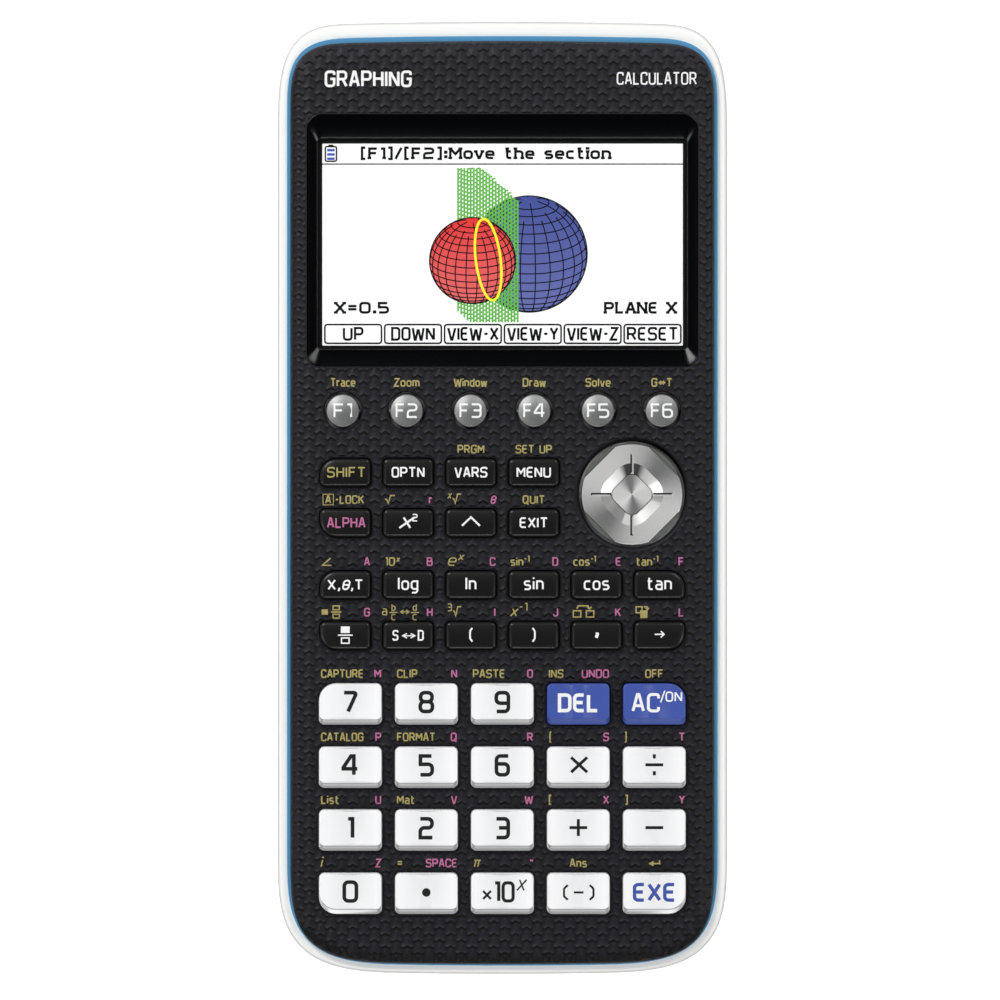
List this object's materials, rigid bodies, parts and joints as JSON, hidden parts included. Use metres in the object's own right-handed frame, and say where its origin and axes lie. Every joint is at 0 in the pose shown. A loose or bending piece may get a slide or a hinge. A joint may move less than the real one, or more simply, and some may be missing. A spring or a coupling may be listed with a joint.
{
  "type": "graphing calculator",
  "caption": "Handheld graphing calculator with a colour display, a sprung keypad, a rocking cursor pad, a battery cover on the back and sockets on its top edge.",
  "frame": {"origin": "centre of the footprint, at the surface that the calculator lies on", "axes": "+X to the right of the key face, +Y towards the display end, +Z out of the key face"},
  "size_m": [0.089, 0.1886, 0.0186],
  "materials": {
    "case_black": "fine moulded relief, satin",
    "case_white": "smooth, semi-gloss",
    "accent_blue": "satin",
    "window_clear": "clear, flat",
    "display": "smooth",
    "board_green": "solder mask",
    "mat_rubber": "matt silicone",
    "cell_wrap": "printed sleeve",
    "steel": "plated",
    "switch_dark": "matt",
    "pivot_plastic": "matt",
    "pad_metal": "spun",
    "key_grey": "metallic lacquer",
    "key_black": "satin",
    "key_white": "satin",
    "key_blue": "satin"
  },
  "bodies": {
    "case": {"front_case": "case_black", "accent_band": "accent_blue", "rear_case": "case_white", "display_window": "window_clear", "display_panel": "display", "circuit_board": "board_green", "keypad_mat": "mat_rubber", "batteries": "cell_wrap", "battery_contacts": "steel", "case_screws": "steel"},
    "cover": {"battery_cover": "case_white"},
    "restart": {"restart_button": "switch_dark"},
    "cursor_rocker": {"cursor_carrier": "pivot_plastic"},
    "cursor": {"cursor_pad": "pad_metal"},
    "key_f1_cap": {"key_f1": "key_grey"},
    "key_f2_cap": {"key_f2": "key_grey"},
    "key_f3_cap": {"key_f3": "key_grey"},
    "key_f4_cap": {"key_f4": "key_grey"},
    "key_f5_cap": {"key_f5": "key_grey"},
    "key_f6_cap": {"key_f6": "key_grey"},
    "key_shift_cap": {"key_shift": "key_black"},
    "key_option_cap": {"key_option": "key_black"},
    "key_variables_cap": {"key_variables": "key_black"},
    "key_menu_cap": {"key_menu": "key_black"},
    "key_alpha_cap": {"key_alpha": "key_black"},
    "key_square_cap": {"key_square": "key_black"},
    "key_power_cap": {"key_power": "key_black"},
    "key_exit_cap": {"key_exit": "key_black"},
    "key_xt_cap": {"key_xt": "key_black"},
    "key_log_cap": {"key_log": "key_black"},
    "key_ln_cap": {"key_ln": "key_black"},
    "key_sin_cap": {"key_sin": "key_black"},
    "key_cos_cap": {"key_cos": "key_black"},
    "key_tan_cap": {"key_tan": "key_black"},
    "key_fraction_cap": {"key_fraction": "key_black"},
    "key_convert_cap": {"key_convert": "key_black"},
    "key_bracket_open_cap": {"key_bracket_open": "key_black"},
    "key_bracket_close_cap": {"key_bracket_close": "key_black"},
    "key_comma_cap": {"key_comma": "key_black"},
    "key_store_cap": {"key_store": "key_black"},
    "key_7_cap": {"key_7": "key_white"},
    "key_8_cap": {"key_8": "key_white"},
    "key_9_cap": {"key_9": "key_white"},
    "key_delete_cap": {"key_delete": "key_blue"},
    "key_clear_cap": {"key_clear": "key_blue"},
    "key_4_cap": {"key_4": "key_white"},
    "key_5_cap": {"key_5": "key_white"},
    "key_6_cap": {"key_6": "key_white"},
    "key_multiply_cap": {"key_multiply": "key_white"},
    "key_divide_cap": {"key_divide": "key_white"},
    "key_1_cap": {"key_1": "key_white"},
    "key_2_cap": {"key_2": "key_white"},
    "key_3_cap": {"key_3": "key_white"},
    "key_add_cap": {"key_add": "key_white"},
    "key_subtract_cap": {"key_subtract": "key_white"},
    "key_0_cap": {"key_0": "key_white"},
    "key_point_cap": {"key_point": "key_white"},
    "key_exponent_cap": {"key_exponent": "key_white"},
    "key_negative_cap": {"key_negative": "key_white"},
    "key_execute_cap": {"key_execute": "key_white"}
  },
  "joints": [
    {"name": "press_f1", "type": "slide", "parent": "case", "child": "key_f1_cap", "axis": [0, 0, -1], "range_m": [0, 0.001], "stiffness_N_per_m": 900, "deforming": ["keypad_mat"]},
    {"name": "press_f2", "type": "slide", "parent": "case", "child": "key_f2_cap", "axis": [0, 0, -1], "range_m": [0, 0.001], "stiffness_N_per_m": 900, "deforming": ["keypad_mat"]},
    {"name": "press_f3", "type": "slide", "parent": "case", "child": "key_f3_cap", "axis": [0, 0, -1], "range_m": [0, 0.001], "stiffness_N_per_m": 900, "deforming": ["keypad_mat"]},
    {"name": "press_f4", "type": "slide", "parent": "case", "child": "key_f4_cap", "axis": [0, 0, -1], "range_m": [0, 0.001], "stiffness_N_per_m": 900, "deforming": ["keypad_mat"]},
    {"name": "press_f5", "type": "slide", "parent": "case", "child": "key_f5_cap", "axis": [0, 0, -1], "range_m": [0, 0.001], "stiffness_N_per_m": 900, "deforming": ["keypad_mat"]},
    {"name": "press_f6", "type": "slide", "parent": "case", "child": "key_f6_cap", "axis": [0, 0, -1], "range_m": [0, 0.001], "stiffness_N_per_m": 900, "deforming": ["keypad_mat"]},
    {"name": "press_shift", "type": "slide", "parent": "case", "child": "key_shift_cap", "axis": [0, 0, -1], "range_m": [0, 0.001], "stiffness_N_per_m": 900, "deforming": ["keypad_mat"]},
    {"name": "press_option", "type": "slide", "parent": "case", "child": "key_option_cap", "axis": [0, 0, -1], "range_m": [0, 0.001], "stiffness_N_per_m": 900, "deforming": ["keypad_mat"]},
    {"name": "press_variables", "type": "slide", "parent": "case", "child": "key_variables_cap", "axis": [0, 0, -1], "range_m": [0, 0.001], "stiffness_N_per_m": 900, "deforming": ["keypad_mat"]},
    {"name": "press_menu", "type": "slide", "parent": "case", "child": "key_menu_cap", "axis": [0, 0, -1], "range_m": [0, 0.001], "stiffness_N_per_m": 900, "deforming": ["keypad_mat"]},
    {"name": "press_alpha", "type": "slide", "parent": "case", "child": "key_alpha_cap", "axis": [0, 0, -1], "range_m": [0, 0.001], "stiffness_N_per_m": 900, "deforming": ["keypad_mat"]},
    {"name": "press_square", "type": "slide", "parent": "case", "child": "key_square_cap", "axis": [0, 0, -1], "range_m": [0, 0.001], "stiffness_N_per_m": 900, "deforming": ["keypad_mat"]},
    {"name": "press_power", "type": "slide", "parent": "case", "child": "key_power_cap", "axis": [0, 0, -1], "range_m": [0, 0.001], "stiffness_N_per_m": 900, "deforming": ["keypad_mat"]},
    {"name": "press_exit", "type": "slide", "parent": "case", "child": "key_exit_cap", "axis": [0, 0, -1], "range_m": [0, 0.001], "stiffness_N_per_m": 900, "deforming": ["keypad_mat"]},
    {"name": "press_xt", "type": "slide", "parent": "case", "child": "key_xt_cap", "axis": [0, 0, -1], "range_m": [0, 0.001], "stiffness_N_per_m": 900, "deforming": ["keypad_mat"]},
    {"name": "press_log", "type": "slide", "parent": "case", "child": "key_log_cap", "axis": [0, 0, -1], "range_m": [0, 0.001], "stiffness_N_per_m": 900, "deforming": ["keypad_mat"]},
    {"name": "press_ln", "type": "slide", "parent": "case", "child": "key_ln_cap", "axis": [0, 0, -1], "range_m": [0, 0.001], "stiffness_N_per_m": 900, "deforming": ["keypad_mat"]},
    {"name": "press_sin", "type": "slide", "parent": "case", "child": "key_sin_cap", "axis": [0, 0, -1], "range_m": [0, 0.001], "stiffness_N_per_m": 900, "deforming": ["keypad_mat"]},
    {"name": "press_cos", "type": "slide", "parent": "case", "child": "key_cos_cap", "axis": [0, 0, -1], "range_m": [0, 0.001], "stiffness_N_per_m": 900, "deforming": ["keypad_mat"]},
    {"name": "press_tan", "type": "slide", "parent": "case", "child": "key_tan_cap", "axis": [0, 0, -1], "range_m": [0, 0.001], "stiffness_N_per_m": 900, "deforming": ["keypad_mat"]},
    {"name": "press_fraction", "type": "slide", "parent": "case", "child": "key_fraction_cap", "axis": [0, 0, -1], "range_m": [0, 0.001], "stiffness_N_per_m": 900, "deforming": ["keypad_mat"]},
    {"name": "press_convert", "type": "slide", "parent": "case", "child": "key_convert_cap", "axis": [0, 0, -1], "range_m": [0, 0.001], "stiffness_N_per_m": 900, "deforming": ["keypad_mat"]},
    {"name": "press_bracket_open", "type": "slide", "parent": "case", "child": "key_bracket_open_cap", "axis": [0, 0, -1], "range_m": [0, 0.001], "stiffness_N_per_m": 900, "deforming": ["keypad_mat"]},
    {"name": "press_bracket_close", "type": "slide", "parent": "case", "child": "key_bracket_close_cap", "axis": [0, 0, -1], "range_m": [0, 0.001], "stiffness_N_per_m": 900, "deforming": ["keypad_mat"]},
    {"name": "press_comma", "type": "slide", "parent": "case", "child": "key_comma_cap", "axis": [0, 0, -1], "range_m": [0, 0.001], "stiffness_N_per_m": 900, "deforming": ["keypad_mat"]},
    {"name": "press_store", "type": "slide", "parent": "case", "child": "key_store_cap", "axis": [0, 0, -1], "range_m": [0, 0.001], "stiffness_N_per_m": 900, "deforming": ["keypad_mat"]},
    {"name": "press_7", "type": "slide", "parent": "case", "child": "key_7_cap", "axis": [0, 0, -1], "range_m": [0, 0.001], "stiffness_N_per_m": 900, "deforming": ["keypad_mat"]},
    {"name": "press_8", "type": "slide", "parent": "case", "child": "key_8_cap", "axis": [0, 0, -1], "range_m": [0, 0.001], "stiffness_N_per_m": 900, "deforming": ["keypad_mat"]},
    {"name": "press_9", "type": "slide", "parent": "case", "child": "key_9_cap", "axis": [0, 0, -1], "range_m": [0, 0.001], "stiffness_N_per_m": 900, "deforming": ["keypad_mat"]},
    {"name": "press_delete", "type": "slide", "parent": "case", "child": "key_delete_cap", "axis": [0, 0, -1], "range_m": [0, 0.001], "stiffness_N_per_m": 900, "deforming": ["keypad_mat"]},
    {"name": "press_clear", "type": "slide", "parent": "case", "child": "key_clear_cap", "axis": [0, 0, -1], "range_m": [0, 0.001], "stiffness_N_per_m": 900, "deforming": ["keypad_mat"]},
    {"name": "press_4", "type": "slide", "parent": "case", "child": "key_4_cap", "axis": [0, 0, -1], "range_m": [0, 0.001], "stiffness_N_per_m": 900, "deforming": ["keypad_mat"]},
    {"name": "press_5", "type": "slide", "parent": "case", "child": "key_5_cap", "axis": [0, 0, -1], "range_m": [0, 0.001], "stiffness_N_per_m": 900, "deforming": ["keypad_mat"]},
    {"name": "press_6", "type": "slide", "parent": "case", "child": "key_6_cap", "axis": [0, 0, -1], "range_m": [0, 0.001], "stiffness_N_per_m": 900, "deforming": ["keypad_mat"]},
    {"name": "press_multiply", "type": "slide", "parent": "case", "child": "key_multiply_cap", "axis": [0, 0, -1], "range_m": [0, 0.001], "stiffness_N_per_m": 900, "deforming": ["keypad_mat"]},
    {"name": "press_divide", "type": "slide", "parent": "case", "child": "key_divide_cap", "axis": [0, 0, -1], "range_m": [0, 0.001], "stiffness_N_per_m": 900, "deforming": ["keypad_mat"]},
    {"name": "press_1", "type": "slide", "parent": "case", "child": "key_1_cap", "axis": [0, 0, -1], "range_m": [0, 0.001], "stiffness_N_per_m": 900, "deforming": ["keypad_mat"]},
    {"name": "press_2", "type": "slide", "parent": "case", "child": "key_2_cap", "axis": [0, 0, -1], "range_m": [0, 0.001], "stiffness_N_per_m": 900, "deforming": ["keypad_mat"]},
    {"name": "press_3", "type": "slide", "parent": "case", "child": "key_3_cap", "axis": [0, 0, -1], "range_m": [0, 0.001], "stiffness_N_per_m": 900, "deforming": ["keypad_mat"]},
    {"name": "press_add", "type": "slide", "parent": "case", "child": "key_add_cap", "axis": [0, 0, -1], "range_m": [0, 0.001], "stiffness_N_per_m": 900, "deforming": ["keypad_mat"]},
    {"name": "press_subtract", "type": "slide", "parent": "case", "child": "key_subtract_cap", "axis": [0, 0, -1], "range_m": [0, 0.001], "stiffness_N_per_m": 900, "deforming": ["keypad_mat"]},
    {"name": "press_0", "type": "slide", "parent": "case", "child": "key_0_cap", "axis": [0, 0, -1], "range_m": [0, 0.001], "stiffness_N_per_m": 900, "deforming": ["keypad_mat"]},
    {"name": "press_point", "type": "slide", "parent": "case", "child": "key_point_cap", "axis": [0, 0, -1], "range_m": [0, 0.001], "stiffness_N_per_m": 900, "deforming": ["keypad_mat"]},
    {"name": "press_exponent", "type": "slide", "parent": "case", "child": "key_exponent_cap", "axis": [0, 0, -1], "range_m": [0, 0.001], "stiffness_N_per_m": 900, "deforming": ["keypad_mat"]},
    {"name": "press_negative", "type": "slide", "parent": "case", "child": "key_negative_cap", "axis": [0, 0, -1], "range_m": [0, 0.001], "stiffness_N_per_m": 900, "deforming": ["keypad_mat"]},
    {"name": "press_execute", "type": "slide", "parent": "case", "child": "key_execute_cap", "axis": [0, 0, -1], "range_m": [0, 0.001], "stiffness_N_per_m": 900, "deforming": ["keypad_mat"]},
    {"name": "cursor_up_down", "type": "hinge", "parent": "case", "child": "cursor_rocker", "pos_m": [0.0256, 0.00065, 0.0131], "axis": [1, 0, 0], "range_deg": [-3, 3], "stiffness_Nm_per_rad": 0.15, "deforming": ["keypad_mat"]},
    {"name": "cursor_left_right", "type": "hinge", "parent": "cursor_rocker", "child": "cursor", "pos_m": [0.0256, 0.00065, 0.0131], "axis": [0, 1, 0], "range_deg": [-3, 3], "stiffness_Nm_per_rad": 0.15, "deforming": ["keypad_mat"]},
    {"name": "cover_open", "type": "hinge", "parent": "case", "child": "cover", "pos_m": [0, 0.0226, 0.0005], "axis": [-1, 0, 0], "range_deg": [0, 40]},
    {"name": "press_restart", "type": "slide", "parent": "case", "child": "restart", "axis": [0, 0, 1], "range_m": [0, 0.0008], "stiffness_N_per_m": 300}
  ]
}
